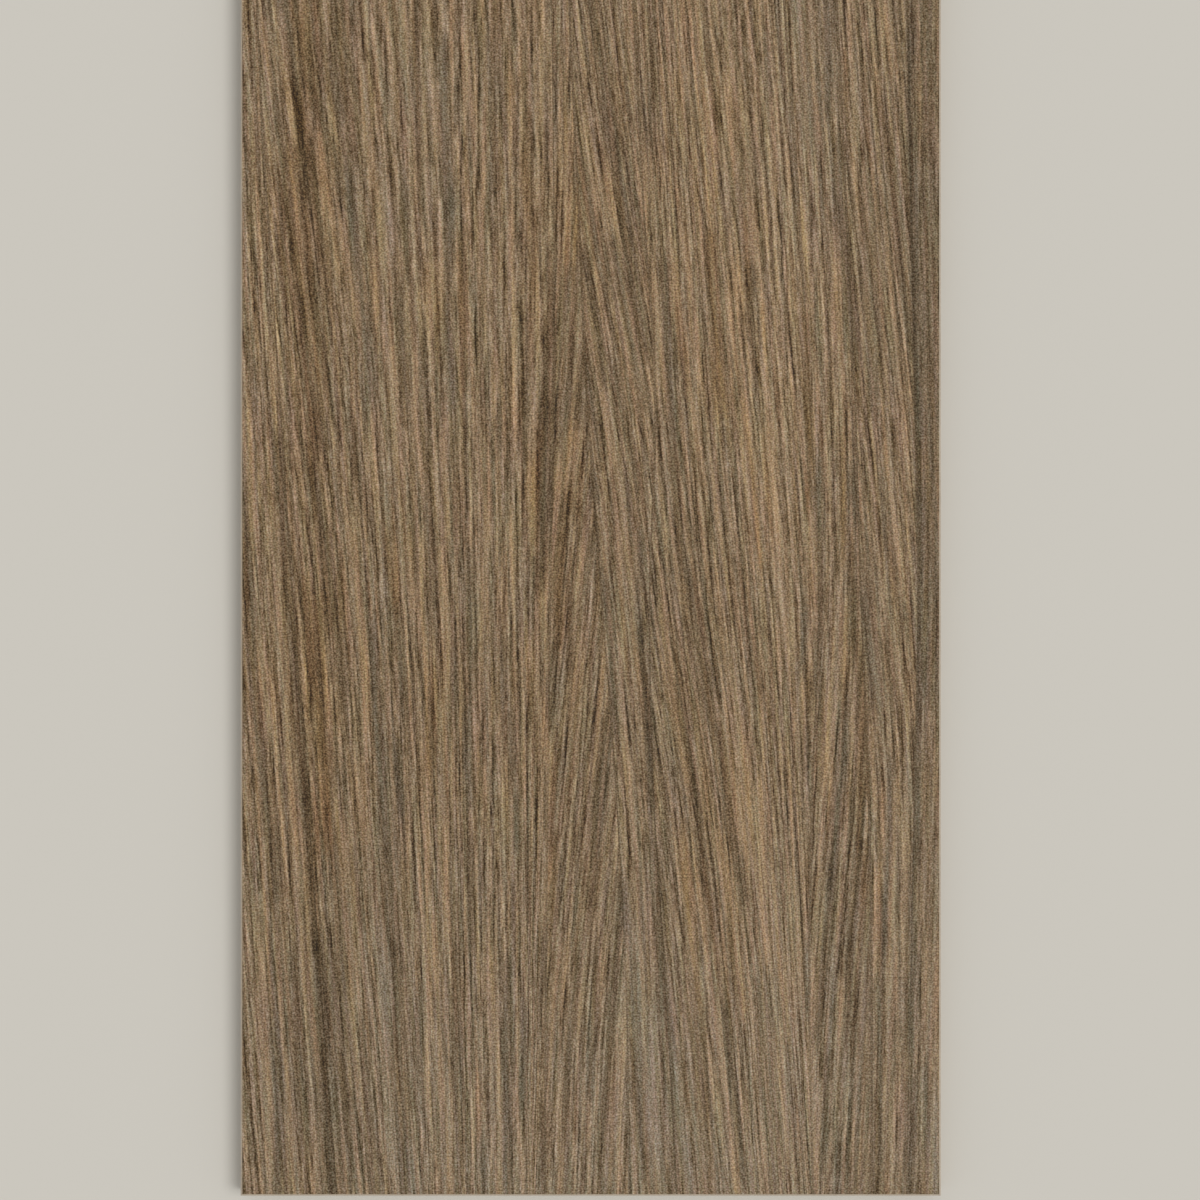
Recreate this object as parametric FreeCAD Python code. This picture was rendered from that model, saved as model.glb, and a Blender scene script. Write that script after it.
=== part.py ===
"""A wood look porcelain plank tile: one dry-pressed, fired and rectified slab.

Millimetres. The tile lies on its keyed back, wear face up. The origin is at the middle of the
back, +Z points up out of the wear face and +Y runs along the plank, which is the way of its grain.
"""

import FreeCAD
import Part
import math
import os

# Overall size of the rectified plank
LENGTH = 1200.0
WIDTH = 200.0
THICKNESS = 9.0

# Arris ground along the four edges of the wear face: its leg on each of the two faces it joins
ARRIS = 0.5

# Adhesive key pressed into the back: rows of drafted cells, with raised ribs between them
KEY_CELL_WIDTH = 29.0
KEY_CELL_LENGTH = 26.8
KEY_RIB_WIDTH = 3.0
KEY_DEPTH = 0.6
KEY_DRAFT_DEG = 40.0


def rectangle(size_x, size_y, z):
    """A closed rectangular wire about the Z axis, at height z."""
    x, y = size_x / 2, size_y / 2
    corners = [(-x, -y), (x, -y), (x, y), (-x, y), (-x, -y)]
    return Part.makePolygon([FreeCAD.Vector(a, b, z) for a, b in corners])


def frustum(size_x, size_y, inset, bottom, top):
    """A four-sided solid about the Z axis whose sides lean in by inset from bottom to top."""
    wide = rectangle(size_x, size_y, bottom)
    narrow = rectangle(size_x - 2 * inset, size_y - 2 * inset, top)
    return Part.makeLoft([wide, narrow], True, True)


def slab():
    """The rectified blank: square ground edges, with the arris round the wear face."""
    edge_height = THICKNESS - ARRIS
    body = Part.Face(rectangle(WIDTH, LENGTH, 0)).extrude(FreeCAD.Vector(0, 0, edge_height))
    arrised_top = frustum(WIDTH, LENGTH, ARRIS, edge_height, THICKNESS)
    return body.fuse(arrised_top).removeSplitter()


def cell_centres(cell, span):
    """Centres of the whole cells that fit along a span, with a rib between and outside them."""
    pitch = cell + KEY_RIB_WIDTH
    count = math.floor((span - KEY_RIB_WIDTH) / pitch)
    return [(i - (count - 1) / 2) * pitch for i in range(count)]


def adhesive_key():
    """Every cell of the key, as one compound to be cut from the back."""
    inset = KEY_DEPTH * math.tan(math.radians(KEY_DRAFT_DEG))
    cell = frustum(KEY_CELL_WIDTH, KEY_CELL_LENGTH, inset, 0, KEY_DEPTH)
    across = cell_centres(KEY_CELL_WIDTH, WIDTH)
    along = cell_centres(KEY_CELL_LENGTH, LENGTH)
    return Part.makeCompound([cell.translated(FreeCAD.Vector(x, y, 0)) for x in across for y in along])


def plank_tile():
    """The finished plank: the slab with the adhesive key in its back."""
    return slab().cut(adhesive_key()).Solids[0]


os.makedirs("parts", exist_ok=True)
tile = plank_tile()
tile.exportStep("parts/plank_tile.step")
print(f"plank_tile: valid {tile.isValid()}, {len(tile.Faces)} faces, {tile.Volume / 1000:.1f} cm3")
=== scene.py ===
"""Looks of a wood look porcelain plank tile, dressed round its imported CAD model.

Metres, in the CAD frame: the tile lies on its back, wear face up, with the grain along Y. The photograph
shows the near end of the plank from straight above, so the grain there is placed by photo pixels.
"""
from collections import namedtuple

import bmesh
import bpy
import numpy as np
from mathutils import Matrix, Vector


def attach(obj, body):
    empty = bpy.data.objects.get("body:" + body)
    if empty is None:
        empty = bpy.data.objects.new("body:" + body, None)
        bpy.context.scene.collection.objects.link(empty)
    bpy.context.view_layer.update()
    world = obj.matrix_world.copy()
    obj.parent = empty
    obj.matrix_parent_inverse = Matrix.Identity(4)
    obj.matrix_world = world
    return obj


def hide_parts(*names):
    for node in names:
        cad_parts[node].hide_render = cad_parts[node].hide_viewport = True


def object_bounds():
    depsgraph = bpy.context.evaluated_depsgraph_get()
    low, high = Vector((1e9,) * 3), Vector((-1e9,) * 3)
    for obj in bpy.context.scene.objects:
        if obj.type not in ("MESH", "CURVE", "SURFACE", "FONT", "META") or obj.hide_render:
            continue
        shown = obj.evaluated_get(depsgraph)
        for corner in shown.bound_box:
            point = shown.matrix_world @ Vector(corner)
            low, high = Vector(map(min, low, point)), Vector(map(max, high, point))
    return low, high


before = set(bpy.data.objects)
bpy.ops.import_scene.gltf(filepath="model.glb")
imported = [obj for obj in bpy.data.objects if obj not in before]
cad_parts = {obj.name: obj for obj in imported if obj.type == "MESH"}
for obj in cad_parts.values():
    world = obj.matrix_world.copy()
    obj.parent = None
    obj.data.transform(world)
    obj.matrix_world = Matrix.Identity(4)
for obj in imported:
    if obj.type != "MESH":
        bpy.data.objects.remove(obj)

MM = 0.001
CAD_LOW, CAD_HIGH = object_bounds()
NODE = "plank_tile"
TOP = CAD_HIGH.z
ARRIS = 0.5 * MM
# A height that all of the back and its key stays under
BACK_TOP = 1 * MM

# The photo frame: how its pixels lie on the tile
PHOTO_SIZE = 1200
PHOTO_LEFT_EDGE, PHOTO_RIGHT_EDGE = 240.5, 941.0
PHOTO_NEAR_END = 1196.0
PIXEL = (CAD_HIGH.x - CAD_LOW.x) / (PHOTO_RIGHT_EDGE - PHOTO_LEFT_EDGE)

# Rows of the photo at which the grain below is placed. The first two lie past the photo's top edge, and the
# grain runs straight on from the first
GUIDE_ROWS = (-1200, -300, 0, 200, 400, 600, 800, 1000, 1195)
MIDDLE_ROW = 600

# The grain lies in sheets, from left to right: photo x, at those rows, of a sheet's left seam and of grain
# lines in it. Rings end at the seams, as where the flanks of the cathedral meet the straight wood
Sheet = namedtuple("Sheet", "seam lines")
LEFT_EDGE = (240,) * len(GUIDE_ROWS)
LEFT_BAND = (255, 250, 256, 266, 279, 292, 307, 321, 336)
LEFT_FLANK_SEAM = (549, 550, 552, 554, 554, 550, 547, 545, 544)
CENTRE_LINE = (561, 562, 568, 577, 586, 601, 616, 626, 628)
RIGHT_FLANK_SEAM = (606, 615, 634, 644, 656, 650, 654, 667, 677)
VALLEY = (760, 770, 783, 797, 809, 818, 811, 808, 812)
FAN_SEAM = (817, 826, 838, 847, 856, 862, 870, 873, 873)
RIGHT_BAND = (901, 905, 909, 912, 916, 919, 915, 911, 907)
SHEETS = (
    Sheet(LEFT_EDGE, (LEFT_BAND,)),
    Sheet(LEFT_BAND, (
        (262, 258, 275, 299, 321, 340, 355, 370, 386),
        (348, 347, 358, 373, 387, 400, 411, 421, 430),
        (447, 449, 455, 460, 466, 471, 474, 477, 481),
        (507, 509, 512, 515, 517, 520, 523, 525, 526),
        (549, 550, 552, 555, 555, 550, 546, 541, 536),
    )),
    Sheet(LEFT_FLANK_SEAM, ((599, 600, 603, 604, 595, 578, 559, 540, 531),)),
    Sheet(CENTRE_LINE, ((528, 540, 560, 586, 620, 645, 664, 676, 686),)),
    Sheet(RIGHT_FLANK_SEAM, (
        (606, 615, 633, 646, 655, 676, 706, 728, 745),
        (673, 684, 700, 721, 741, 760, 776, 790, 804),
        (723, 732, 745, 761, 776, 792, 802, 811, 822),
    )),
    Sheet(VALLEY, ((804, 811, 820, 833, 843, 847, 838, 823, 813),)),
    Sheet(FAN_SEAM, ((810, 822, 845, 863, 884, 902, 917, 919, 914),)),
    Sheet(RIGHT_BAND, (RIGHT_BAND,)),
)
# How far apart the ring numbers of neighbouring sheets lie
SHEET_STEP = 1000

Colouring = namedtuple("Colouring", "tone warmth")
Streak = namedtuple("Streak", "colouring half_width points")
Zone = namedtuple("Zone", "x y half_width half_length colouring")

# What each kind of streak does to the colour of the wood. A calm one only holds its fibres back
KINDS = {
    "dark": Colouring(-0.120, -0.25),
    "black": Colouring(-0.170, -0.30),
    "rust": Colouring(-0.095, 0.60),
    "umber": Colouring(-0.150, 0.45),
    "slate": Colouring(-0.105, -0.85),
    "light": Colouring(0.100, 0.30),
    "bright": Colouring(0.135, 0.45),
    "peach": Colouring(0.100, 0.80),
    "pale": Colouring(0.075, -0.30),
    "veil": Colouring(-0.105, -0.40),
    "calm": Colouring(0.0, 0.0),
}


def maker(kind):
    """A maker of streaks of one kind, from half their width and the photo points that they follow."""
    return lambda half_width, *points: Streak(KINDS[kind], half_width, points)


dark, black, rust, umber, slate, light, bright, peach, pale, veil, calm = (maker(kind) for kind in KINDS)

# Streaks of the near end, placed down the photo
STREAKS = (
    # Left quarter, top to bottom
    dark(2.5, (278, 0), (286, 20), (290, 40), (294, 70), (297, 90)),
    rust(4, (302, 25), (304, 50), (307, 80), (310, 95)),
    dark(3, (309, 55), (311, 80), (315, 100), (318, 112)),
    dark(3, (322, 40), (328, 65), (333, 92)),
    umber(4, (300, 108), (302, 130), (306, 150), (310, 165)),
    umber(3, (295, 155), (298, 180), (302, 212)),
    umber(3, (293, 235), (296, 270), (302, 300), (305, 325)),
    black(3, (297, 88), (303, 133), (308, 178)),
    black(2.5, (289, 200), (292, 250)),
    black(3, (311, 150), (316, 200), (321, 240), (328, 284)),
    dark(2.5, (334, 147), (338, 192)),
    black(3, (308, 267), (314, 311), (322, 360), (331, 410)),
    slate(2.5, (350, 188), (352, 212)),
    dark(5, (340, -60), (339, 20), (345, 110)),
    dark(3, (276, 103), (282, 147), (284, 160)),
    dark(4, (286, 160), (282, 240), (284, 285)),
    black(3, (301, 190), (307, 255), (316, 300)),
    dark(6, (301, 300), (306, 350), (316, 400), (320, 440)),
    bright(3.5, (288, 150), (293, 180), (298, 215), (304, 245), (309, 300), (315, 345), (325, 405)),
    light(2, (291, 165), (298, 215), (303, 240)),
    bright(3.5, (318, 140), (323, 180), (329, 220), (335, 265)),
    light(2, (321, 160), (328, 215)),
    bright(3, (342, 230), (347, 270), (355, 310)),
    light(5, (267, 30), (269, 150)),
    light(3, (365, 78), (371, 175)),
    umber(5, (314, 420), (312, 470)),
    black(4.5, (312, 480), (316, 505), (322, 532), (327, 560), (330, 590), (333, 615)),
    black(5, (242, 500), (245, 560), (249, 610), (254, 685), (260, 750), (266, 800), (271, 840), (275, 890)),
    black(4, (278, 440), (282, 500), (286, 570), (291, 620), (295, 670), (299, 740), (305, 800)),
    umber(4.5, (305, 590), (309, 640), (314, 690)),
    rust(5, (318, 610), (319, 675), (321, 740)),
    rust(6, (326, 760), (329, 840)),
    rust(3, (319, 820), (316, 857)),
    rust(3, (340, 587), (340, 612)),
    light(4, (271, 520), (276, 580), (281, 640), (286, 700), (291, 770), (296, 840)),
    bright(4, (249, 420), (254, 520)),
    light(4, (260, 640), (266, 720)),
    black(4, (305, 800), (309, 850), (312, 900), (316, 945)),
    black(6, (318, 950), (321, 1000), (323, 1060), (326, 1110), (329, 1160), (332, 1195)),
    dark(4, (337, 841), (340, 916), (343, 960), (346, 1035), (349, 1097)),
    dark(3, (291, 960), (296, 1010), (299, 1070), (303, 1140)),
    slate(4, (276, 1030), (278, 1080), (278, 1195)),
    light(5, (257, 905), (260, 970), (264, 1030), (269, 1090), (270, 1195)),
    light(4, (296, 840), (303, 930), (311, 1000), (316, 1070), (319, 1190)),
    light(3, (287, 1065), (291, 1120), (296, 1190)),
    light(3, (284, 941), (290, 1004)),
    light(7, (341, 830), (348, 900), (352, 960), (352, 1080)),
    dark(3, (346, 1100), (353, 1160)),
    calm(6, (270, 800), (277, 900), (285, 1000)),
    calm(6, (332, 965), (338, 1100), (344, 1195)),
    # From the left quarter to the cathedral
    calm(7, (388, 800), (398, 960), (404, 1100), (408, 1195)),
    calm(6, (441, 1000), (446, 1195)),
    black(3, (417, -80), (416, 60), (419, 130), (421, 200)),
    slate(4, (442, 50), (444, 110), (447, 165), (450, 205)),
    dark(3, (493, -40), (494, 60), (494, 110), (492, 160), (488, 200), (492, 240)),
    rust(3, (528, 120), (526, 170), (531, 240), (532, 280)),
    light(3, (402, -30), (406, 45)),
    light(3.5, (423, 80), (425, 150), (428, 200)),
    bright(3, (436, 90), (438, 140)),
    light(3, (482, 131), (483, 180), (481, 230), (484, 290)),
    light(3, (510, 78), (510, 150)),
    bright(3, (465, 40), (468, 80), (471, 110)),
    bright(4, (542, -40), (542, 40), (541, 110)),
    slate(4, (346, 170), (352, 215), (358, 265), (364, 310), (367, 350), (369, 395)),
    light(3.5, (380, 190), (382, 230), (384, 270)),
    pale(4, (390, 215), (391, 260)),
    dark(3, (402, 185), (403, 225), (407, 270)),
    peach(3, (377, 260), (379, 300)),
    light(3.5, (428, 270), (432, 315)),
    light(3, (440, 262), (441, 297)),
    slate(4, (452, 205), (449, 260), (448, 320), (450, 370), (451, 400)),
    rust(3, (461, 240), (462, 290), (464, 340), (463, 380)),
    bright(3, (509, 225), (509, 260), (512, 295)),
    dark(5, (399, 300), (402, 350), (405, 395)),
    bright(4, (391, 335), (393, 380), (396, 430), (395, 460)),
    bright(3, (418, 300), (418, 340), (415, 400), (418, 445), (420, 470)),
    rust(2.5, (437, 315), (436, 352)),
    dark(3, (423, 330), (422, 380), (424, 440), (428, 490), (429, 520)),
    pale(4, (500, 295), (502, 332)),
    dark(3, (528, 320), (527, 360), (525, 410), (521, 450)),
    black(3, (350, 420), (355, 455), (361, 495)),
    light(3, (368, 440), (373, 480)),
    pale(3, (388, 470), (388, 515)),
    light(3, (434, 470), (436, 512)),
    bright(3.5, (444, 440), (447, 505), (449, 535)),
    dark(4, (453, 440), (454, 500), (452, 545)),
    light(3, (477, 425), (482, 478), (488, 531)),
    dark(3, (500, 408), (499, 442)),
    peach(4, (352, 528), (357, 580), (362, 630), (366, 680), (366, 720)),
    slate(3.5, (373, 630), (376, 690), (379, 740), (383, 790), (386, 850)),
    rust(3, (389, 530), (391, 565), (394, 600)),
    dark(3, (395, 605), (398, 645), (403, 680), (408, 710)),
    peach(3, (396, 555), (397, 592)),
    peach(3, (410, 540), (411, 602)),
    dark(2.5, (415, 528), (416, 562)),
    bright(3, (421, 545), (421, 590), (423, 630), (428, 680)),
    dark(3, (431, 540), (431, 590), (431, 622)),
    bright(3, (441, 560), (444, 600), (448, 640), (448, 690), (446, 730), (443, 790), (443, 830)),
    dark(3, (455, 640), (453, 690), (450, 722)),
    slate(3.5, (470, 560), (470, 620), (471, 680), (469, 720), (466, 760), (470, 800)),
    light(4, (486, 520), (484, 570), (484, 622)),
    bright(3, (511, 530), (512, 590)),
    dark(2.5, (500, 640), (500, 700)),
    dark(4, (512, 720), (513, 762)),
    dark(3.5, (341, 635), (344, 690)),
    rust(4, (429, 680), (432, 725), (430, 762)),
    light(3, (424, 738), (425, 780), (426, 830)),
    peach(3, (360, 778), (364, 832)),
    slate(4, (398, 758), (402, 802)),
    light(3, (508, 800), (512, 865)),
    slate(3.5, (517, 800), (517, 842)),
    dark(3, (355, 858), (360, 922)),
    dark(4, (386, 860), (390, 920), (393, 945)),
    black(4, (394, 950), (396, 1000), (398, 1050), (400, 1100), (404, 1150), (408, 1195)),
    pale(5, (380, 930), (385, 980), (388, 1040), (391, 1160)),
    bright(3, (427, 840), (426, 900), (427, 960), (428, 1020), (426, 1080), (428, 1112)),
    bright(3, (446, 840), (446, 935)),
    peach(2.5, (434, 930), (436, 982)),
    dark(4, (470, 845), (471, 900), (470, 940)),
    dark(4, (528, 855), (527, 902)),
    dark(4.5, (457, 955), (457, 1030), (456, 1080)),
    slate(4, (509, 965), (507, 1020), (505, 1070), (506, 1130), (508, 1195)),
    bright(3, (490, 965), (495, 1020), (497, 1070), (499, 1120), (501, 1190)),
    slate(3, (524, 1015), (524, 1060), (522, 1102)),
    slate(3, (418, 1000), (419, 1060), (423, 1112)),
    light(4, (436, 1038), (436, 1092)),
    dark(3, (362, 1035), (365, 1080), (371, 1130), (377, 1195)),
    bright(3, (449, 1080), (450, 1130), (449, 1185)),
    dark(3, (457, 1100), (460, 1150), (459, 1185)),
    peach(3, (477, 1095), (478, 1132)),
    slate(3, (483, 1145), (485, 1185)),
    pale(4, (410, 1155), (412, 1195)),
    # Cathedral: its flanks, apex and flame
    calm(13, (566, 265), (569, 330), (576, 405)),
    calm(8, (584, 525), (590, 560)),
    calm(11, (618, 255), (630, 330), (641, 400)),
    peach(3, (566, 125), (567, 165), (566, 200)),
    peach(4, (571, 205), (568, 255)),
    rust(2.5, (575, 208), (575, 238)),
    black(4, (551, 290), (553, 325), (549, 345), (547, 380), (548, 410)),
    black(6, (547, 420), (544, 450), (543, 490), (543, 530), (541, 580)),
    rust(2.5, (541, 440), (538, 470), (536, 495)),
    pale(3, (583, 312), (578, 345), (572, 378), (566, 420), (562, 455)),
    dark(3, (573, 350), (567, 380), (562, 425), (556, 450), (552, 480), (550, 510)),
    black(3, (584, 258), (588, 285), (594, 315), (600, 345), (605, 380)),
    dark(2.5, (607, 262), (606, 302)),
    black(3.5, (586, 362), (590, 385), (593, 410), (598, 425), (602, 440)),
    dark(3, (616, 372), (619, 400), (625, 428), (633, 462), (638, 485)),
    dark(5, (578, 396), (578, 416)),
    light(3, (587, 312), (590, 330), (593, 352)),
    peach(8, (573, 436), (570, 455), (566, 480)),
    bright(4, (558, 480), (558, 500), (556, 530), (552, 560), (549, 590)),
    umber(5, (573, 505), (576, 507)),
    black(3.5, (592, 488), (595, 510), (598, 535)),
    dark(3, (594, 552), (598, 575)),
    umber(3.5, (566, 500), (562, 530), (561, 560), (558, 590), (559, 635)),
    light(3, (600, 515), (602, 540), (606, 565)),
    bright(3.5, (583, 555), (580, 590), (577, 620), (576, 665), (572, 715)),
    bright(3, (542, 600), (545, 630), (547, 660)),
    slate(3, (606, 585), (607, 605), (611, 640), (613, 690), (616, 725)),
    dark(3, (572, 605), (571, 640), (570, 665)),
    dark(3, (553, 655), (551, 705)),
    peach(3.5, (533, 470), (535, 540)),
    peach(4, (531, 650), (540, 700), (548, 750)),
    bright(4, (549, 755), (550, 800), (548, 840), (546, 910)),
    dark(3.5, (558, 755), (555, 795), (551, 840)),
    rust(3, (530, 680), (536, 740)),
    dark(6, (603, 728), (597, 790), (598, 816), (592, 895)),
    bright(3, (608, 630), (604, 668), (599, 725), (593, 770)),
    light(3, (611, 800), (607, 863), (600, 916)),
    rust(3, (554, 850), (553, 902)),
    dark(4, (541, 945), (542, 995)),
    dark(3, (593, 904), (577, 972), (570, 1035), (566, 1070), (566, 1120), (567, 1195)),
    light(4, (588, 925), (581, 980), (574, 1035)),
    light(4, (559, 950), (552, 1010), (549, 1065)),
    dark(3, (596, 965), (595, 1012)),
    slate(3, (591, 1035), (590, 1088)),
    light(3, (583, 1080), (587, 1130)),
    light(3, (560, 1090), (562, 1195)),
    dark(3, (541, 1110), (544, 1190)),
    black(3.5, (620, 885), (617, 940), (614, 990), (610, 1050), (605, 1110), (601, 1195)),
    bright(4, (628, 950), (623, 1010), (619, 1060), (615, 1110), (611, 1175)),
    # Right flank and fan
    dark(5, (588, -30), (597, 40), (606, 90), (612, 140)),
    bright(3.5, (584, 135), (589, 170), (594, 205)),
    dark(3, (583, 160), (586, 190), (591, 220), (595, 245)),
    black(3.5, (616, 150), (619, 190), (625, 230), (632, 275)),
    bright(3, (607, 185), (611, 228)),
    dark(5, (631, 285), (639, 320), (645, 350)),
    dark(4, (652, 50), (652, 110), (649, 140)),
    light(5, (644, 150), (647, 205)),
    light(3, (628, 6), (635, 94)),
    light(3, (674, 9), (680, 47), (685, 87)),
    light(3, (674, 250), (675, 306)),
    light(3, (684, 240), (687, 270), (690, 300)),
    light(3, (621, 316), (624, 345), (627, 374)),
    bright(4, (656, 295), (658, 340), (660, 385)),
    slate(4, (665, 270), (668, 330), (669, 380), (672, 430)),
    umber(2.5, (677, 318), (679, 352)),
    rust(2.5, (684, 345), (686, 388)),
    bright(3, (691, 325), (694, 370), (695, 410), (698, 445)),
    bright(4, (605, 398), (609, 430), (612, 455)),
    light(3, (618, 455), (622, 490), (626, 530), (629, 560)),
    light(3, (619, 545), (621, 590), (625, 640), (627, 665)),
    slate(3, (640, 545), (639, 590), (641, 635)),
    black(4, (641, 640), (645, 690), (649, 740), (651, 800)),
    light(3, (633, 560), (634, 620), (637, 690)),
    light(3, (619, 675), (622, 730), (628, 785)),
    light(3, (633, 768), (634, 832)),
    dark(4, (674, 450), (678, 520), (684, 570)),
    light(3, (668, 450), (671, 525), (675, 569), (680, 600)),
    dark(5, (693, 580), (699, 630), (705, 670), (709, 712)),
    black(3, (678, 685), (686, 730), (691, 765), (696, 795)),
    peach(4, (661, 615), (669, 670), (676, 720), (686, 775)),
    light(3, (695, 715), (700, 760), (706, 806)),
    light(4, (722, 640), (728, 670), (735, 700), (743, 745)),
    bright(3.5, (723, 715), (729, 755), (736, 800), (741, 832)),
    black(4, (717, 735), (722, 760), (727, 800), (735, 845), (743, 895)),
    black(3, (700, 812), (704, 850), (708, 895), (713, 935)),
    peach(4, (720, 845), (729, 900), (734, 945), (745, 1004)),
    dark(3, (728, 920), (732, 960), (736, 992)),
    peach(4, (683, 845), (687, 900), (694, 955), (699, 1002)),
    rust(3, (703, 1040), (707, 1112)),
    bright(3.5, (706, 919), (710, 975), (718, 1030), (724, 1090), (731, 1140), (738, 1195)),
    black(3, (724, 1000), (729, 1045), (735, 1090), (740, 1135), (745, 1175)),
    light(3, (744, 1108), (748, 1150), (752, 1195)),
    black(4, (657, 850), (660, 890), (661, 945), (664, 1000)),
    dark(4, (666, 1015), (670, 1080), (674, 1130), (675, 1195)),
    slate(3, (624, 905), (628, 940), (631, 975), (632, 1012)),
    black(3, (632, 1040), (635, 1085), (640, 1130), (645, 1168)),
    pale(4, (636, 930), (637, 990), (642, 1052)),
    pale(4, (652, 1010), (654, 1080), (657, 1152)),
    pale(3, (669, 980), (672, 1040), (678, 1090), (683, 1140), (689, 1195)),
    calm(9, (640, 880), (650, 1060), (660, 1195)),
    calm(9, (690, 1000), (700, 1100), (708, 1195)),
    # Right third
    calm(8, (765, 1000), (775, 1195)),
    calm(8, (869, 560), (876, 700)),
    calm(8, (862, 900), (866, 1195)),
    calm(7, (904, 900), (906, 1195)),
    light(3.5, (696, -20), (698, 50), (704, 90), (710, 140)),
    light(4, (731, 75), (731, 130), (734, 165)),
    bright(3, (774, 105), (776, 140), (778, 185)),
    rust(5, (710, 245), (713, 290), (717, 340), (722, 400)),
    bright(3.5, (726, 300), (732, 345), (737, 372)),
    dark(2.5, (730, 345), (735, 378), (738, 402)),
    peach(3, (715, 148), (714, 192)),
    black(4, (753, 275), (751, 300), (749, 332)),
    peach(4, (803, 215), (807, 255)),
    bright(4, (834, 245), (834, 320), (842, 395)),
    slate(5, (828, -60), (829, 60), (828, 105)),
    dark(5, (837, 145), (839, 200), (842, 235)),
    dark(5, (845, 255), (848, 300), (854, 345)),
    light(3, (852, 80), (855, 135)),
    rust(2.5, (845, 60), (845, 100)),
    dark(3, (880, 109), (892, 175), (899, 237), (905, 294), (911, 337)),
    peach(4, (885, 10), (892, 65)),
    rust(3, (806, 325), (809, 400), (810, 470), (807, 505)),
    peach(4, (742, 405), (748, 450), (755, 500), (760, 555)),
    bright(5, (767, 435), (773, 490), (779, 550), (783, 600), (787, 645)),
    light(3, (711, 462), (717, 500)),
    dark(3, (739, 565), (745, 610), (752, 645), (761, 690)),
    dark(3, (821, 535), (821, 600), (818, 645), (813, 685)),
    light(3, (814, 520), (816, 575)),
    rust(2.5, (842, 440), (843, 480), (844, 555)),
    slate(3, (820, 470), (820, 520)),
    slate(3, (853, 480), (855, 510)),
    light(3, (836, 644), (830, 712), (822, 759)),
    slate(3, (805, 625), (800, 668)),
    bright(3, (885, 455), (893, 510), (899, 560), (903, 590)),
    light(3, (880, 565), (886, 605), (891, 640), (897, 690)),
    dark(4, (885, 520), (890, 550), (897, 585), (903, 612)),
    dark(2.5, (887, 640), (891, 670), (895, 700)),
    dark(4, (853, 560), (853, 640)),
    peach(3, (846, 610), (844, 650), (841, 690)),
    slate(4, (865, 600), (868, 650), (870, 690)),
    rust(5, (857, 640), (860, 700), (865, 760), (866, 790)),
    dark(4, (812, 690), (806, 730), (804, 760)),
    light(3, (804, 690), (802, 730)),
    rust(2.5, (822, 690), (822, 720), (819, 760)),
    peach(2.5, (829, 700), (828, 740), (824, 780)),
    slate(3, (845, 690), (844, 760), (839, 805), (835, 850), (831, 885)),
    umber(3, (861, 790), (858, 830), (862, 860), (863, 885)),
    peach(2.5, (872, 740), (873, 800)),
    peach(2.5, (882, 800), (882, 840), (880, 880)),
    dark(2.5, (851, 795), (851, 835)),
    dark(4, (857, 850), (855, 900), (851, 945)),
    slate(2.5, (891, 770), (890, 840), (886, 900), (885, 940)),
    light(3, (907, 800), (906, 860), (906, 960)),
    peach(3, (878, 880), (877, 920), (877, 965)),
    light(2.5, (822, 880), (820, 930)),
    light(4, (741, 760), (746, 800), (750, 863)),
    bright(5, (759, 790), (762, 850), (764, 900), (767, 955)),
    light(4, (792, 880), (796, 940), (799, 995)),
    light(3, (774, 894), (780, 972), (788, 1035)),
    black(4, (831, 875), (827, 930), (822, 980), (817, 1035)),
    dark(4, (848, 940), (850, 990), (847, 1030)),
    pale(2.5, (833, 950), (832, 990), (829, 1040)),
    dark(2.5, (856, 980), (856, 1040)),
    slate(2.5, (806, 955), (806, 1005)),
    slate(3, (827, 1060), (827, 1100), (825, 1140)),
    bright(3, (811, 955), (813, 990), (810, 1045), (812, 1110), (816, 1170)),
    bright(4, (842, 995), (840, 1040), (837, 1095)),
    light(4, (780, 1035), (783, 1090), (788, 1155)),
    light(3, (761, 1140), (761, 1195)),
    dark(2.5, (894, 1020), (894, 1070)),
    slate(2.5, (838, 1150), (837, 1195)),
    dark(2.5, (848, 1160), (850, 1195)),
    bright(3.5, (895, 795), (893, 850), (891, 920), (890, 1000), (889, 1195)),
    black(3, (884, 900), (883, 960), (881, 1000), (881, 1120), (880, 1195)),
    calm(7, (747, 150), (752, 255)),
    calm(10, (806, 0), (810, 140)),
    calm(9, (868, 190), (872, 300), (878, 390)),
    calm(8, (893, 180), (898, 260)),
    # Right edge
    veil(9, (928, -40), (929, 120), (930, 300), (931, 500), (931, 690)),
    slate(4.5, (910, 40), (910, 100), (911, 170), (914, 230), (915, 290), (918, 340), (921, 430)),
    dark(2.5, (904, -60), (908, 60), (909, 120), (912, 200), (914, 300), (916, 420), (918, 500)),
    slate(3, (920, 500), (921, 560), (919, 640), (920, 700), (919, 760), (916, 840)),
    calm(8, (930, 760), (931, 1195)),
    slate(4, (914, 860), (912, 940), (911, 1040)),
    slate(4, (913, 1090), (913, 1195)),
    slate(2.5, (925, 1080), (926, 1140)),
    light(4, (934, 960), (934, 1060)),
    pale(6, (934, 1100), (934, 1195)),
)
# How far past its end points a streak fades out, in photo pixels
STREAK_FADE = 26

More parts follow.
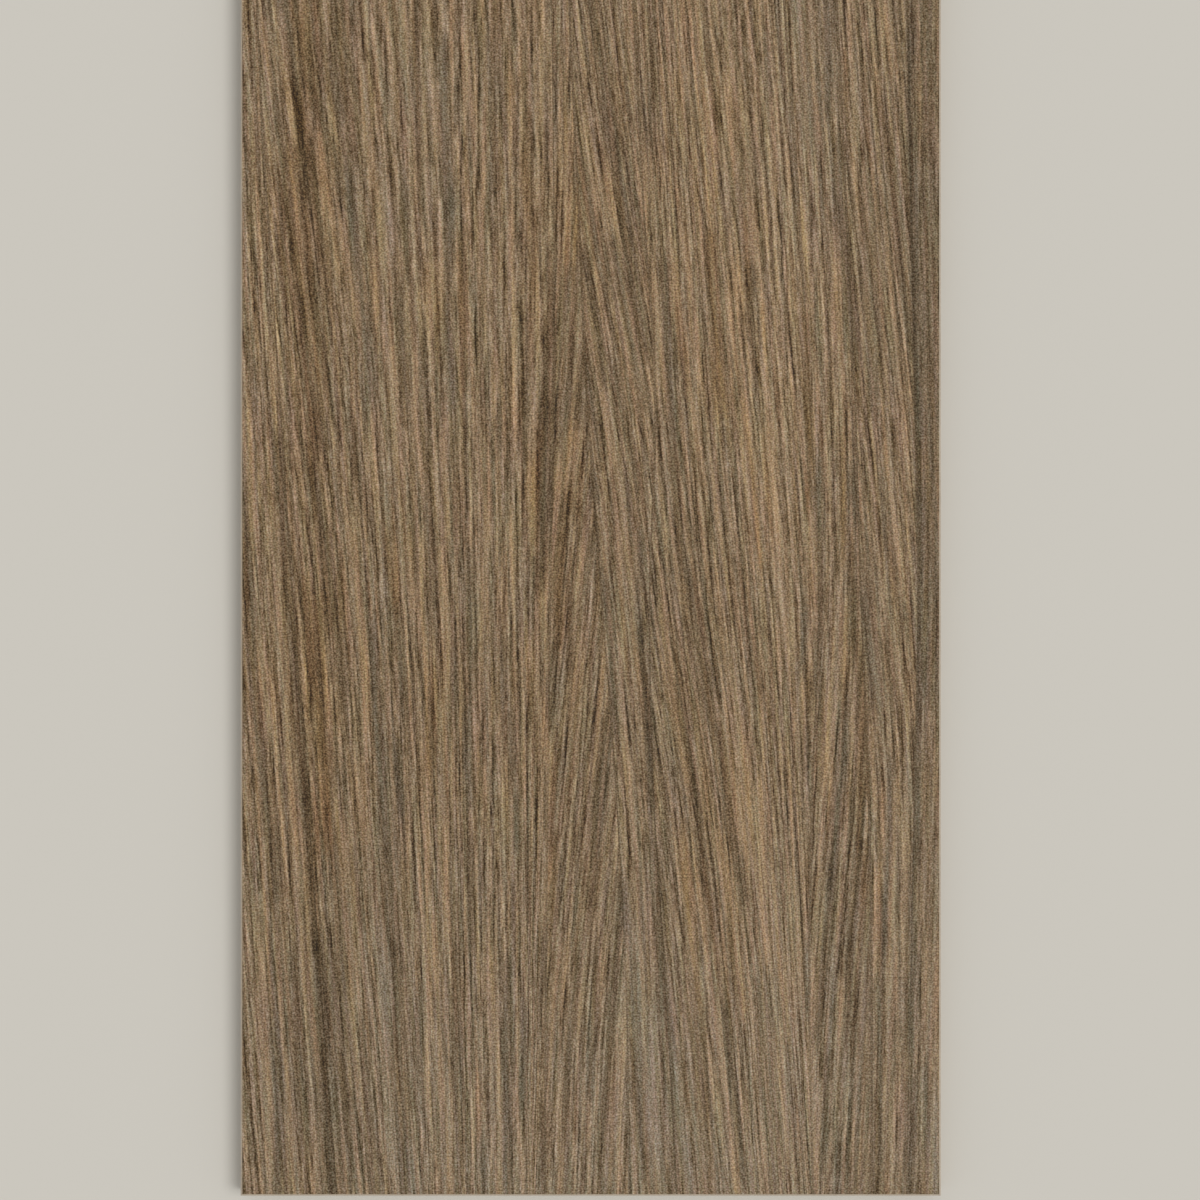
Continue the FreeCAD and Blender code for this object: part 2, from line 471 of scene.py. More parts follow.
# Broad zones of the near end that are a little darker, lighter, warmer or cooler, by photo place
ZONES = (
    Zone(500, 180, 330, 330, Colouring(0.0, 0.05)),
    Zone(590, 1160, 420, 190, Colouring(0.020, -0.48)),
    Zone(310, 210, 22, 190, Colouring(-0.052, 0.37)),
    Zone(275, 100, 14, 60, Colouring(0.0, -0.20)),
    Zone(275, 300, 20, 90, Colouring(0.010, 0.20)),
    Zone(318, 700, 28, 150, Colouring(-0.030, 0.38)),
    Zone(345, 500, 12, 50, Colouring(0.0, -0.25)),
    Zone(331, 1050, 13, 130, Colouring(-0.080, -0.40)),
    Zone(286, 1000, 24, 120, Colouring(-0.040, -0.10)),
    Zone(284, 1175, 28, 50, Colouring(-0.030, 0.0)),
    Zone(313, 1010, 10, 70, Colouring(0.0, 0.20)),
    Zone(245, 580, 6, 70, Colouring(-0.050, 0.05)),
    Zone(245, 320, 5, 90, Colouring(0.035, 0.0)),
    Zone(246, 725, 5, 50, Colouring(0.060, 0.0)),
    Zone(262, 760, 16, 120, Colouring(0.030, 0.12)),
    Zone(415, 110, 30, 150, Colouring(0.042, -0.03)),
    Zone(395, 390, 55, 80, Colouring(0.018, 0.0)),
    Zone(430, 700, 26, 100, Colouring(-0.026, 0.15)),
    Zone(386, 780, 18, 200, Colouring(-0.020, -0.30)),
    Zone(410, 815, 12, 60, Colouring(-0.028, 0.0)),
    Zone(432, 1000, 26, 120, Colouring(0.018, -0.05)),
    Zone(453, 780, 12, 130, Colouring(-0.042, -0.10)),
    Zone(540, 1185, 190, 50, Colouring(0.022, 0.0)),
    Zone(520, 390, 14, 90, Colouring(0.022, 0.20)),
    Zone(540, 375, 10, 50, Colouring(0.0, 0.25)),
    Zone(568, 215, 20, 60, Colouring(-0.005, 0.30)),
    Zone(576, 325, 16, 70, Colouring(-0.052, 0.14)),
    Zone(556, 480, 18, 120, Colouring(-0.050, 0.09)),
    Zone(576, 720, 34, 140, Colouring(-0.042, -0.04)),
    Zone(575, 660, 14, 110, Colouring(-0.030, 0.0)),
    Zone(562, 985, 20, 90, Colouring(-0.028, 0.0)),
    Zone(545, 1140, 20, 60, Colouring(0.0, 0.38)),
    Zone(635, 140, 20, 130, Colouring(-0.036, 0.0)),
    Zone(622, 490, 14, 80, Colouring(-0.020, 0.0)),
    Zone(655, 600, 14, 70, Colouring(-0.022, -0.25)),
    Zone(656, 770, 16, 90, Colouring(-0.020, -0.35)),
    Zone(644, 900, 14, 70, Colouring(0.022, 0.0)),
    Zone(652, 1080, 26, 120, Colouring(0.022, -0.15)),
    Zone(711, 900, 14, 60, Colouring(0.0, 0.22)),
    Zone(700, 985, 12, 60, Colouring(-0.025, 0.0)),
    Zone(698, 170, 33, 170, Colouring(0.030, 0.26)),
    Zone(690, 460, 14, 60, Colouring(-0.025, 0.0)),
    Zone(692, 650, 26, 100, Colouring(-0.042, 0.05)),
    Zone(703, 810, 22, 80, Colouring(-0.036, 0.10)),
    Zone(748, 280, 14, 110, Colouring(0.0, 0.22)),
    Zone(760, 280, 35, 60, Colouring(0.035, 0.15)),
    Zone(755, 380, 14, 60, Colouring(0.020, 0.0)),
    Zone(814, 250, 16, 110, Colouring(0.0, -0.25)),
    Zone(784, 420, 36, 170, Colouring(0.050, 0.24)),
    Zone(748, 820, 20, 110, Colouring(0.025, 0.26)),
    Zone(810, 690, 14, 80, Colouring(0.028, 0.0)),
    Zone(845, 450, 20, 70, Colouring(0.020, 0.10)),
    Zone(830, 730, 10, 60, Colouring(0.0, -0.25)),
    Zone(875, 810, 12, 90, Colouring(0.0, -0.25)),
    Zone(782, 1000, 24, 100, Colouring(0.030, -0.05)),
    Zone(804, 75, 38, 140, Colouring(0.042, -0.10)),
    Zone(842, 1030, 17, 130, Colouring(-0.036, -0.20)),
    Zone(858, 760, 18, 130, Colouring(-0.018, -0.12)),
    Zone(860, 330, 20, 120, Colouring(-0.032, -0.12)),
    Zone(870, 510, 12, 70, Colouring(-0.022, 0.0)),
    Zone(903, 500, 12, 90, Colouring(0.052, 0.18)),
    Zone(895, 1010, 22, 90, Colouring(0.026, -0.10)),
    Zone(926, 780, 12, 90, Colouring(-0.020, -0.25)),
)

# Streaks and zones of the rest of the plank, which the photo doesn't show
FAR_START = -20
FAR_BLEND = 100
FAR_STREAKS = 480
FAR_STREAK_LENGTH = (80, 360)
FAR_STREAK_HALF_WIDTH = (2, 4.5)
FAR_ZONES = 70
FAR_ZONE_LENGTH = (260, 700)
FAR_ZONE_HALF_WIDTH = (14, 40)
FAR_ZONE_COLOURING = Colouring(0.035, 0.25)
FAR_SEED = 12

# The least and the most that overlapping streaks and zones add up to
LOWEST, HIGHEST = Colouring(-0.28, -1.0), Colouring(0.16, 0.9)

Fibre = namedtuple("Fibre", "width length weight")

# The printed fibres in millimetres, and how far each kind sways the tone. Paired ones have a light side and
# a dark one
GRIT = Fibre(0.46, 0.46, 0.78)
LOOSE_FIBRES = (Fibre(0.5, 3, 0.30), Fibre(0.5, 9, 0.36))
PAIRED_LINES = (
    Fibre(0.8, 8, 0.15),
    Fibre(0.8, 24, 0.24),
    Fibre(1.2, 12, 0.13),
    Fibre(1.8, 18, 0.25),
    Fibre(1.5, 108, 0.28),
)
# Shifts that keep the noises of the fibres apart
LOOSE_SHIFT, PAIRED_SHIFT, SHIFT_STEP = 10, 40, 7.3
# How far the dark of a pair lies beside its light, in widths
PAIR_STEP = 0.7
# How much deeper the dark fibres go than the light ones rise
DARK_DEPTH = 0.45
# How much of the fibres' tone a streak holds back where it lies
STREAK_HOLD = 0.55
# What one step of warmth and of green does to each colour channel
WARM_TINT = (0.09, -0.01, -0.16)
GREEN_TINT = (-0.035, 0.035, -0.04)
# How warm the light fibres are, and how far lines and specks sway the warmth and the green
FIBRE_WARMTH = 1.8
LINE_TINTS = (1.6, 2.2)
SPECK_TINTS = (1.6, 3.2)

# Wear face mesh. Its rows lie closer where the grain fans out
COLUMNS = 380
FAN_ROWS = 132
STRAIGHT_ROWS = 102

# Relief pressed into the wear face: furrows along the grain, with their pitch and height in millimetres
FURROWS = ((2.6, 0.022), (4.1, 0.018), (6.7, 0.014))
# How far the furrows sway, in radians, and over how many photo pixels for each millimetre of pitch
FURROW_SWAY = 0.9
FURROW_SWAY_LENGTH = 31
# How much deeper the face lies for each step of dark, and the darkest that counts
STREAK_DEPTH = 0.12 * MM
DARKEST = 0.25


def photo_y(y):
    return PHOTO_NEAR_END - (y - CAD_LOW.y) / PIXEL


def smooth_curve(rows, values, at):
    """A smooth curve through values at rows, held level past its ends."""
    rows = np.asarray(rows, float)
    values = np.asarray(values, float)
    slopes = np.gradient(values, rows)
    at = np.clip(at, rows[0], rows[-1])
    i = np.clip(np.searchsorted(rows, at) - 1, 0, len(rows) - 2)
    step = rows[i + 1] - rows[i]
    t = (at - rows[i]) / step
    start = values[i] * (1 + 2 * t) * (1 - t) ** 2 + slopes[i] * step * t * (1 - t) ** 2
    end = values[i + 1] * t * t * (3 - 2 * t) + slopes[i + 1] * step * t * t * (t - 1)
    return start + end


def line_places(line, row):
    return smooth_curve(GUIDE_ROWS, line, row)


def ring_map(px, py):
    """The ring at each point of a grid: where its grain line crosses the middle row, set apart by sheet."""
    rings = np.empty_like(px)
    for j, row in enumerate(py[:, 0]):
        for k, sheet in enumerate(SHEETS):
            places = [line_places(line, row) for line in sheet.lines]
            numbers = [line_places(line, MIDDLE_ROW) + k * SHEET_STEP for line in sheet.lines]
            own = np.interp(px[j], places, numbers)
            own += np.minimum(px[j] - places[0], 0) + np.maximum(px[j] - places[-1], 0)
            rings[j] = np.where(px[j] > line_places(sheet.seam, row), own, rings[j])
    return rings


def fade(value, start, end, width):
    """1 from start to end, falling smoothly to 0 over width past either."""
    t = np.clip(np.minimum(value - (start - width), (end + width) - value) / width, 0, 1)
    return t * t * (3 - 2 * t)


def near_marks(px, py):
    """Strength over the grid of each streak and zone that the photo shows, with its colouring."""
    for streak in STREAKS:
        xs, ys = np.array(streak.points, float).T
        away = (px - np.interp(py, ys, xs)) / streak.half_width
        yield streak.colouring, np.exp2(-away * away) * fade(py, ys[0], ys[-1], STREAK_FADE), True
    for zone in ZONES:
        away = ((px - zone.x) / zone.half_width) ** 2 + ((py - zone.y) / zone.half_length) ** 2
        yield zone.colouring, np.exp2(-away), False


def far_marks(px, py, rings):
    """Strength over the grid of streaks and zones along the rings past the photo, with their colouring."""
    random = np.random.default_rng(FAR_SEED)
    past_photo = np.clip((FAR_START - py) / FAR_BLEND, 0, 1)
    for number in range(FAR_STREAKS + FAR_ZONES):
        narrow = number < FAR_STREAKS
        half_width = random.uniform(*(FAR_STREAK_HALF_WIDTH if narrow else FAR_ZONE_HALF_WIDTH))
        half_length = random.uniform(*(FAR_STREAK_LENGTH if narrow else FAR_ZONE_LENGTH)) / 2
        row = random.integers(len(py))
        column = random.integers(px.shape[1])
        colouring = STREAKS[random.integers(len(STREAKS))].colouring
        if not narrow:
            colouring = Colouring(*random.normal(0, 1, 2) * FAR_ZONE_COLOURING)
        away = (rings - rings[row, column]) / half_width
        near, far = py[row, column] - half_length, py[row, column] + half_length
        strength = np.exp2(-away * away) * fade(py, near, far, half_length / 2)
        yield colouring, strength * past_photo, narrow


def colour_maps(px, py, rings):
    """Tone and warmth that the streaks and zones give to each point, and how much of it streaks cover."""
    maps = np.zeros((2, *px.shape))
    cover = np.zeros_like(px)
    for marks in (near_marks(px, py), far_marks(px, py, rings)):
        for colouring, strength, narrow in marks:
            maps += np.array(colouring)[:, None, None] * strength
            if narrow:
                cover = np.maximum(cover, strength)
    low, high = np.array((LOWEST, HIGHEST))[:, :, None, None]
    tone, warmth = np.clip(maps, low, high)
    return tone, warmth, cover


def wear_grid():
    """Photo places of the wear face's mesh points, whose columns follow the grain between its two edges."""
    inset = ARRIS / PIXEL
    left, right = PHOTO_LEFT_EDGE + inset, PHOTO_RIGHT_EDGE - inset
    near, far = PHOTO_NEAR_END - inset, photo_y(CAD_HIGH.y) + inset
    fan = np.linspace(near, 0, FAN_ROWS, endpoint=False)
    rows = np.concatenate([fan, np.linspace(0, far, STRAIGHT_ROWS)])
    inside = [line for sheet in SHEETS for line in (sheet.seam, *sheet.lines[1:-1])][1:]
    even = np.linspace(left, right, COLUMNS)
    stations = [left, *(line_places(line, MIDDLE_ROW) for line in inside), right]
    px = np.array([
        np.interp(even, stations, [left, *(line_places(line, row) for line in inside), right])
        for row in rows
    ])
    return px, np.repeat(rows[:, None], COLUMNS, axis=1)


def relief(rings, py, tone):
    """Depth of the wear face below its highest level, in metres, and level along its edges."""
    depth = np.zeros_like(rings)
    for pitch, height in FURROWS:
        phase = 2 * np.pi * rings * PIXEL / (pitch * MM)
        sway = FURROW_SWAY * np.sin(py / (FURROW_SWAY_LENGTH * pitch) + pitch)
        depth += height * MM * (0.5 + 0.5 * np.sin(phase + sway))
    depth += STREAK_DEPTH * np.clip(-tone, 0, DARKEST)
    depth[[0, -1], :] = 0
    depth[:, [0, -1]] = 0
    return depth


def keyed_back():
    """Points and faces of the back and its key, as the CAD model has them, and its four outer corners."""
    back = bmesh.new()
    back.from_mesh(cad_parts[NODE].data)
    bmesh.ops.remove_doubles(back, verts=back.verts, dist=1e-6)
    above = [f for f in back.faces if max(v.co.z for v in f.verts) > BACK_TOP]
    bmesh.ops.delete(back, geom=above, context="FACES")
    back.verts.index_update()
    points = [tuple(v.co) for v in back.verts]
    faces = [[v.index for v in f.verts] for f in back.faces]
    back.free()
    places = np.array(points)
    turn = ((-1, -1), (1, -1), (1, 1), (-1, 1))
    corners = [int(np.argmax(places[:, 0] * x + places[:, 1] * y - places[:, 2])) for x, y in turn]
    return points, faces, corners


def grid_rim(rows, columns):
    """Point numbers round a grid, turning left from its first corner, and where its corners come."""
    near = list(range(columns))
    right = [j * columns + columns - 1 for j in range(1, rows)]
    far = [(rows - 1) * columns + i for i in range(columns - 2, -1, -1)]
    left = [j * columns for j in range(rows - 2, 0, -1)]
    corners = (0, columns - 1, columns + rows - 2, 2 * columns + rows - 3)
    return near + right + far + left, corners


def low_rim(rim):
    """The rim of the wear face carried over the arris, out and down to the edges."""
    reach = 1.2 * ARRIS
    points = rim.copy()
    for axis, (low, high) in enumerate(zip(CAD_LOW[:2], CAD_HIGH[:2])):
        points[:, axis] = np.where(points[:, axis] < low + reach, low, points[:, axis])
        points[:, axis] = np.where(points[:, axis] > high - reach, high, points[:, axis])
    points[:, 2] = TOP - ARRIS
    return points


def grid_faces(rows, columns):
    corner = (np.arange(rows - 1)[:, None] * columns + np.arange(columns - 1)).ravel()
    return np.stack([corner, corner + 1, corner + columns + 1, corner + columns], axis=1)


def side_faces(top_rim, first_low, rim_corners, back_corners):
    """Faces of the arris, under the wear face's rim, and of the four edges, down to the back's corners."""
    count = len(top_rim)
    arris = [
        [first_low + k, first_low + (k + 1) % count, top_rim[(k + 1) % count], top_rim[k]]
        for k in range(count)
    ]
    edges = []
    for side in range(4):
        start, end = rim_corners[side], rim_corners[(side + 1) % 4] or count
        top_edge = [first_low + k % count for k in range(start, end + 1)]
        edges.append([back_corners[side], back_corners[(side + 1) % 4], *top_edge[::-1]])
    return arris, edges


def write_vectors(mesh, name, first, parts):
    """Writes a vector on each point of the wear face, whose points start at first."""
    wear_values = np.stack(parts, axis=-1).reshape(-1, 3)
    values = np.zeros((len(mesh.vertices), 3))
    values[first:first + len(wear_values)] = wear_values
    layer = mesh.attributes.new(name, "FLOAT_VECTOR", "POINT")
    layer.data.foreach_set("vector", values.ravel())


def tile_mesh():
    """The whole tile as one closed mesh, with its grain written on its points."""
    px, py = wear_grid()
    rings = ring_map(px, py)
    tone, warmth, cover = colour_maps(px, py, rings)
    x = CAD_LOW.x + (px - PHOTO_LEFT_EDGE) * PIXEL
    y = CAD_LOW.y + (PHOTO_NEAR_END - py) * PIXEL
    wear = np.stack([x, y, TOP - relief(rings, py, tone)], axis=-1).reshape(-1, 3)

    back_points, back_faces, back_corners = keyed_back()
    rim, rim_corners = grid_rim(*px.shape)
    first_wear = len(back_points)
    first_low = first_wear + len(wear)
    points = back_points + wear.tolist() + low_rim(wear[rim]).tolist()
    wear_faces = (grid_faces(*px.shape) + first_wear).tolist()
    top_rim = [first_wear + k for k in rim]
    arris_faces, edge_faces = side_faces(top_rim, first_low, rim_corners, back_corners)

    mesh = bpy.data.meshes.new(NODE)
    groups = (wear_faces, arris_faces, edge_faces, back_faces)
    mesh.from_pydata(points, [], [face for group in groups for face in group])
    slots = np.repeat([0, 1, 1, 2], [len(group) for group in groups])
    mesh.polygons.foreach_set("material_index", slots.astype(np.int32))
    mesh.polygons.foreach_set("use_smooth", slots == 0)
    along = (y - CAD_LOW.y) / MM
    write_vectors(mesh, "grain", first_wear, (rings * PIXEL / MM, along, np.zeros_like(along)))
    write_vectors(mesh, "colouring", first_wear, (tone, warmth, cover))
    bake_map(mesh)
    mesh.validate()
    return mesh


def read_values(items, name, each=1, kind=float):
    """One property of all points, corners or faces of a mesh, as an array."""
    values = np.empty(len(items) * each, kind)
    items.foreach_get(name, values)
    return values.reshape(-1, each) if each > 1 else values


def bake_map(mesh):
    """A map for baked colours in which the wear face has most of the room, wide across the grain."""
    low, high = np.array(CAD_LOW), np.array(CAD_HIGH)
    corners = read_values(mesh.loops, "vertex_index", kind=np.int32)
    share = ((read_values(mesh.vertices, "co", 3) - low) / (high - low))[corners]
    totals = read_values(mesh.polygons, "loop_total", kind=np.int32)
    normal = np.repeat(read_values(mesh.polygons, "normal", 3), totals, axis=0)
    slot = np.repeat(read_values(mesh.polygons, "material_index", kind=np.int32), totals)
    strips = (
        # which corners, start across the map, width, what runs across it and what runs up it
        (slot == 0, 0.002, 0.780, 0, 1),
        (slot == 2, 0.786, 0.160, 0, 1),
        ((slot == 1) & (normal[:, 0] < -0.5), 0.950, 0.010, 2, 1),
        ((slot == 1) & (normal[:, 0] > 0.5), 0.963, 0.010, 2, 1),
        ((slot == 1) & (normal[:, 1] < -0.5), 0.976, 0.010, 2, 0),
        ((slot == 1) & (normal[:, 1] > 0.5), 0.989, 0.010, 2, 0),
    )
    margin = 0.002
    uv = np.zeros((len(corners), 2))
    for chosen, start, width, across, up in strips:
        uv[chosen, 0] = start + width * share[chosen, across]
        uv[chosen, 1] = margin + (1 - 2 * margin) * share[chosen, up]
    layer = mesh.uv_layers.new(name="OFBake")
    layer.data.foreach_set("uv", uv.ravel())


def linear(red, green, blue):
    """An sRGB colour of 0 to 255 as the linear colour that a shader takes."""
    share = np.array([red, green, blue]) / 255
    bent = ((share + 0.055) / 1.055) ** 2.4
    return (*np.where(share <= 0.04045, share / 12.92, bent), 1.0)


def add_node(tree, kind, inputs=(), **settings):
    """A new node with its settings, and with each input either linked or set."""
    node = tree.nodes.new(kind)
    for name, value in settings.items():
        setattr(node, name, value)
    for name, value in dict(inputs).items():
        if isinstance(value, bpy.types.NodeSocket):
            tree.links.new(value, node.inputs[name])
        else:
            node.inputs[name].default_value = value
    return node


def calculate(tree, operation, first, second):
    return add_node(tree, "ShaderNodeMath", {0: first, 1: second}, operation=operation).outputs[0]


def multiply_add(tree, first, second, third):
    return add_node(
        tree, "ShaderNodeMath", {0: first, 1: second, 2: third}, operation="MULTIPLY_ADD"
    ).outputs[0]


def vector_math(tree, operation, inputs):
    return add_node(tree, "ShaderNodeVectorMath", inputs, operation=operation).outputs[0]


def noise(tree, places, size, shift, detail=0.0, roughness=0.5, flat=False, output="Fac"):
    """Noise from 0 to 1 whose features have a size along each axis of places. Its shift sets it apart."""
    scale = [1 / length for length in size]
    moved = vector_math(tree, "MULTIPLY_ADD", {0: places, 1: scale, 2: (shift,) * 3})
    inputs = {"Vector": moved, "Scale": 1.0, "Detail": detail, "Roughness": roughness}
    dimensions = "2D" if flat else "3D"
    return add_node(tree, "ShaderNodeTexNoise", inputs, noise_dimensions=dimensions).outputs[output]


def paired_noise(tree, places, size, shift):
    """Flat noise less itself a step across the grain, about 0.5, so that lights lie beside darks."""
    light_side = noise(tree, places, size, shift, flat=True)
    beside = vector_math(tree, "ADD", {0: places, 1: (PAIR_STEP * size[0], 0, 0)})
    dark_side = noise(tree, beside, size, shift, flat=True)
    return calculate(tree, "ADD", calculate(tree, "SUBTRACT", light_side, dark_side), 0.5)


def weighted_sum(tree, start, terms):
    """start plus each noise about its mean, times its weight."""
    total = start
    for value, weight in terms:
        about_mean = calculate(tree, "SUBTRACT", value, 0.5)
        total = multiply_add(tree, about_mean, weight, total)
    return total


def colour_ramp(tree, value, stops):
    node = add_node(tree, "ShaderNodeValToRGB", {"Fac": value})
    elements = node.color_ramp.elements
    while len(elements) < len(stops):
        elements.new(1.0)
    for element, (place, colour) in zip(elements, stops):
        element.position = place
        element.color = colour
    return node.outputs["Color"]


def mix(tree, share, first, second):
    """Two colours mixed by a share. The node's sockets go by number, as several have the same name."""
    return add_node(tree, "ShaderNodeMix", {0: share, 6: first, 7: second}, data_type="RGBA").outputs[2]


def tinted(tree, colour, shades):
    """A colour made warmer and greener by the two shades."""
    tint = (1.0, 1.0, 1.0)
    for shade, channels in zip(shades, (WARM_TINT, GREEN_TINT)):
        shift = vector_math(tree, "SCALE", {0: channels, "Scale": shade})
        tint = vector_math(tree, "ADD", {0: tint, 1: shift})
    return vector_math(tree, "MULTIPLY", {0: colour, 1: tint})


def new_material(name):
    """A material with an empty tree but for its shader, and that tree and shader."""
    material = bpy.data.materials.new(name)
    material.use_nodes = True
    shader = next(n for n in material.node_tree.nodes if n.type == "BSDF_PRINCIPLED")
    return material, material.node_tree, shader


def attribute(tree, name):
    return add_node(tree, "ShaderNodeAttribute", attribute_name=name).outputs["Vector"]


def split(tree, vector):
    return add_node(tree, "ShaderNodeSeparateXYZ", {0: vector}).outputs


def set_bump(tree, shader, height, distance):
    bump = add_node(tree, "ShaderNodeBump", {"Height": height, "Strength": 1.0, "Distance": distance})
    tree.links.new(bump.outputs["Normal"], shader.inputs["Normal"])


def object_places(tree):
    """Places on the tile in millimetres."""
    places = add_node(tree, "ShaderNodeTexCoord").outputs["Object"]
    return vector_math(tree, "SCALE", {0: places, "Scale": 1 / MM})


def printed_face():
    """The printed wood grain under its matt glaze."""
    material, tree, shader = new_material("printed_face")
    flow = attribute(tree, "grain")
    tone, warmth, cover = split(tree, attribute(tree, "colouring"))
    places = object_places(tree)
    loose = [
        noise(tree, flow, (fibre.width, fibre.length, 1), LOOSE_SHIFT + SHIFT_STEP * k, flat=True)
        for k, fibre in enumerate(LOOSE_FIBRES)
    ]
    paired = [
        paired_noise(tree, flow, (fibre.width, fibre.length, 1), PAIRED_SHIFT + SHIFT_STEP * k)
        for k, fibre in enumerate(PAIRED_LINES)
    ]
    grit = noise(tree, places, (GRIT.width, GRIT.length, GRIT.width), 5.3)
    open_wood = multiply_add(tree, cover, -STREAK_HOLD, 1.0)
    pairs, strays = (
        weighted_sum(tree, 0.0, [(value, fibre.weight) for value, fibre in zip(values, fibres)])
        for values, fibres in ((paired, PAIRED_LINES), (loose, LOOSE_FIBRES))
    )
    lines = calculate(tree, "MULTIPLY", pairs, open_wood)
    lines_and_strays = multiply_add(tree, strays, open_wood, lines)
    depth = multiply_add(tree, lines_and_strays, -DARK_DEPTH, 1.0)
    toned = multiply_add(tree, lines_and_strays, depth, calculate(tree, "ADD", tone, 0.5))
    value = weighted_sum(tree, toned, [(grit, GRIT.weight)])
    wood = colour_ramp(tree, value, (
        (0.0, linear(41, 25, 7)),
        (0.21, linear(78, 58, 31)),
        (0.5, linear(122, 101, 75)),
        (0.79, linear(161, 139, 112)),
        (1.0, linear(189, 168, 142)),
    ))
    line_tints = split(tree, noise(tree, flow, (1.3, 28, 1), 31.3, flat=True, output="Color"))
    speck_tints = split(tree, noise(tree, places, (0.5, 0.5, 0.5), 37.7, output="Color"))
    shades = []
    for k, shift in enumerate((multiply_add(tree, lines, FIBRE_WARMTH, warmth), 0.0)):
        tints = ((line_tints[k], LINE_TINTS[k]), (speck_tints[k], SPECK_TINTS[k]))
        shades.append(weighted_sum(tree, shift, tints))
    colour = tinted(tree, wood, shades)
    tree.links.new(colour, shader.inputs["Base Color"])
    widest = paired[3]
    roughness = weighted_sum(tree, 0.62, ((grit, 0.25), (widest, -0.2)))
    tree.links.new(roughness, shader.inputs["Roughness"])
    shader.inputs["Specular IOR Level"].default_value = 0.2
    set_bump(tree, shader, weighted_sum(tree, 0.5, ((grit, 0.7), (widest, 0.9))), 0.08 * MM)
    return material


def ground_body():
    """The fired body where the edges and the arris are ground: warm beige with fine specks."""
    material, tree, shader = new_material("ground_body")
    places = object_places(tree)
    specks = noise(tree, places, (0.35, 0.35, 0.35), 2.7, 2, 0.7)
    clouds = noise(tree, places, (14, 14, 5), 9.1, 2)
    scratches = noise(tree, places, (3.5, 3.5, 0.12), 17.3, 1)
    value = weighted_sum(tree, 0.5, ((specks, 0.9), (clouds, 0.35), (scratches, 0.3)))
    colour = colour_ramp(tree, value, (
        (0.0, linear(132, 116, 98)),
        (0.5, linear(176, 162, 143)),
        (1.0, linear(205, 194, 178)),
    ))
    tree.links.new(colour, shader.inputs["Base Color"])
    tree.links.new(weighted_sum(tree, 0.68, ((scratches, 0.3),)), shader.inputs["Roughness"])
    shader.inputs["Specular IOR Level"].default_value = 0.3
    set_bump(tree, shader, weighted_sum(tree, 0.5, ((scratches, 0.8), (specks, 0.5))), 0.05 * MM)
    return material


def back_body():
    """The fired back: bare body in the cells of the key, and chalky kiln wash rubbed on its ribs."""
    material, tree, shader = new_material("back_body")
    places = object_places(tree)
    height = split(tree, places)[2]
    specks = noise(tree, places, (0.5, 0.5, 0.5), 4.9, 2, 0.7)
    clouds = noise(tree, places, (22, 22, 5), 13.7, 3)
    smears = noise(tree, places, (7, 16, 5), 27.1, 3, 0.65)
    value = weighted_sum(tree, 0.5, ((specks, 0.7), (clouds, 0.6)))
    bare = colour_ramp(tree, value, (
        (0.0, linear(120, 102, 84)),
        (0.5, linear(163, 146, 125)),
        (1.0, linear(190, 176, 157)),
    ))
    on_rib = add_node(tree, "ShaderNodeMapRange", {
        "Value": height, "From Min": 0.0, "From Max": 0.2, "To Min": 0.85, "To Max": 0.0,
    }).outputs[0]
    rubbed = add_node(tree, "ShaderNodeMapRange", {
        "Value": smears, "From Min": 0.35, "From Max": 0.62,
    }).outputs[0]
    wash = calculate(tree, "MULTIPLY", on_rib, rubbed)
    colour = mix(tree, wash, bare, linear(212, 207, 197))
    tree.links.new(colour, shader.inputs["Base Color"])
    tree.links.new(weighted_sum(tree, 0.8, ((specks, 0.25),)), shader.inputs["Roughness"])
    shader.inputs["Specular IOR Level"].default_value = 0.25
    set_bump(tree, shader, weighted_sum(tree, 0.5, ((specks, 0.9), (smears, 0.5))), 0.08 * MM)
    return material


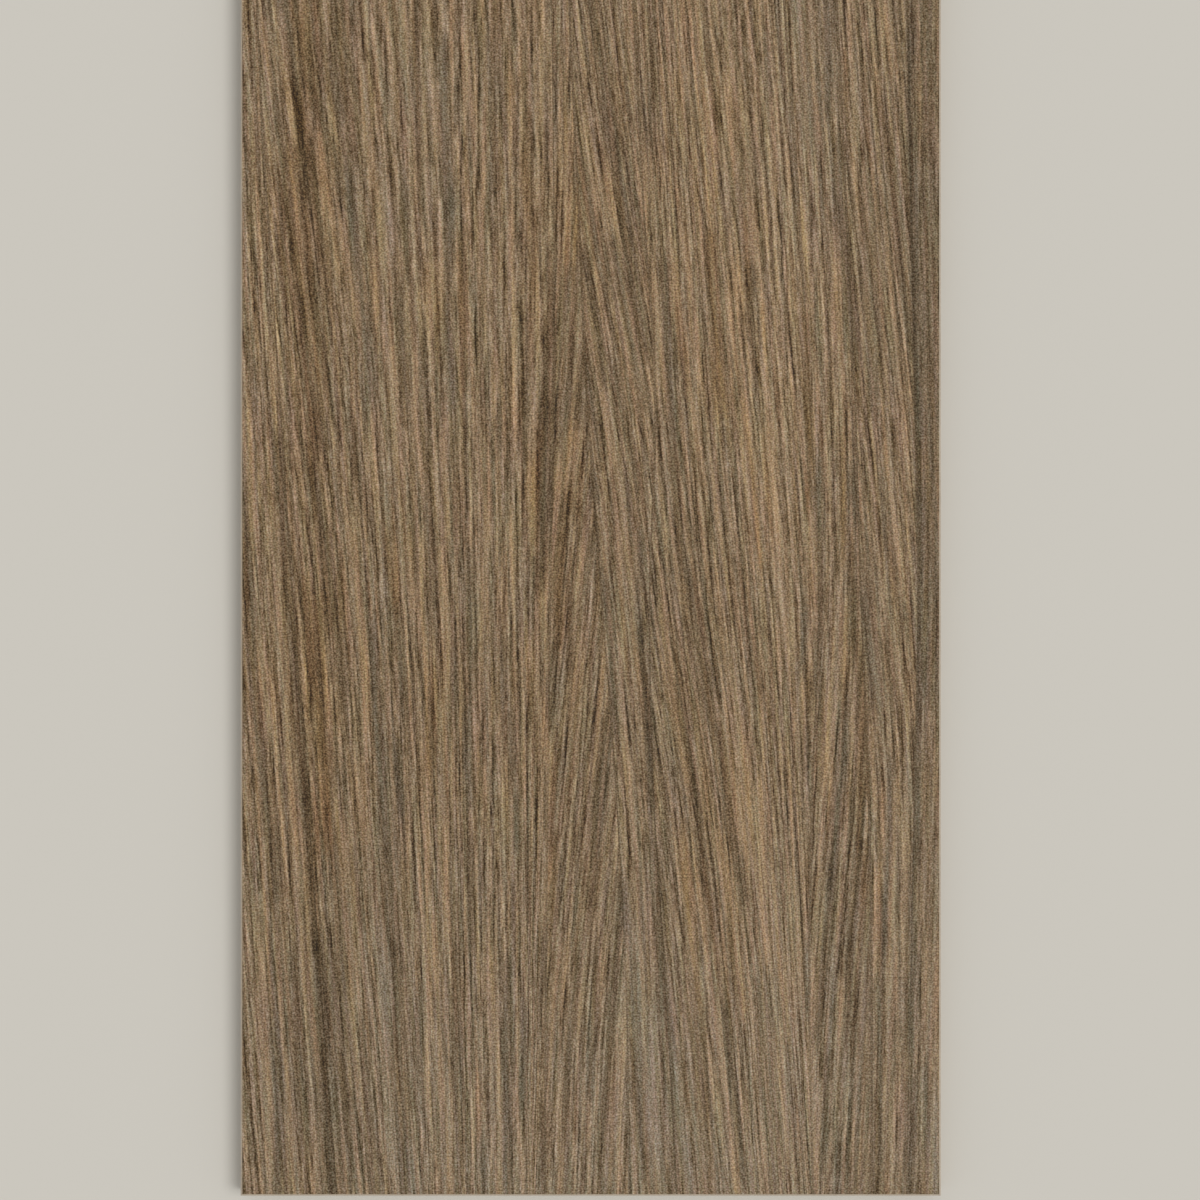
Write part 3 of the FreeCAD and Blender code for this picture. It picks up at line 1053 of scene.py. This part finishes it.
def add_tile():
    """The dressed tile, which stands for the CAD node."""
    mesh = tile_mesh()
    for material in (printed_face(), ground_body(), back_body()):
        mesh.materials.append(material)
    tile = bpy.data.objects.new("porcelain_plank", mesh)
    bpy.context.scene.collection.objects.link(tile)
    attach(tile, "root")
    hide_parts(NODE)


def add_floor():
    """A plain pale floor."""
    half = 24.0
    mesh = bpy.data.meshes.new("floor")
    corners = [(-half, -half, 0), (half, -half, 0), (half, half, 0), (-half, half, 0)]
    mesh.from_pydata(corners, [], [(0, 1, 2, 3)])
    material, _, shader = new_material("floor")
    shader.inputs["Base Color"].default_value = linear(201, 197, 188)
    shader.inputs["Roughness"].default_value = 0.9
    shader.inputs["Specular IOR Level"].default_value = 0.2
    mesh.materials.append(material)
    floor = bpy.data.objects.new("floor", mesh)
    bpy.context.scene.collection.objects.link(floor)


def add_light():
    """Soft light all round, and a soft key from the right that throws the short shadow on the left."""
    world = bpy.data.worlds.new("studio")
    world.use_nodes = True
    background = world.node_tree.nodes["Background"]
    background.inputs["Color"].default_value = (1, 1, 1, 1)
    background.inputs["Strength"].default_value = 0.62
    bpy.context.scene.world = world
    key = bpy.data.lights.new("key", "SUN")
    key.energy = 1.38
    key.angle = np.radians(28)
    lamp = bpy.data.objects.new("key", key)
    lamp.rotation_euler = (0, np.radians(25), 0)
    bpy.context.scene.collection.objects.link(lamp)


def add_camera():
    """The photo's camera: straight above, with the photo's frame on the wear face."""
    lens, sensor = 85.0, 36.0
    camera = bpy.data.cameras.new("camera")
    camera.lens = lens
    camera.sensor_width = sensor
    camera.clip_end = 50
    middle = PHOTO_SIZE / 2
    x = CAD_LOW.x + (middle - PHOTO_LEFT_EDGE) * PIXEL
    y = CAD_LOW.y + (PHOTO_NEAR_END - middle) * PIXEL
    holder = bpy.data.objects.new("camera", camera)
    holder.location = (x, y, TOP + PHOTO_SIZE * PIXEL * lens / sensor)
    bpy.context.scene.collection.objects.link(holder)
    bpy.context.scene.camera = holder


add_tile()
add_floor()
add_light()
add_camera()
bpy.context.scene.view_settings.view_transform = "Standard"
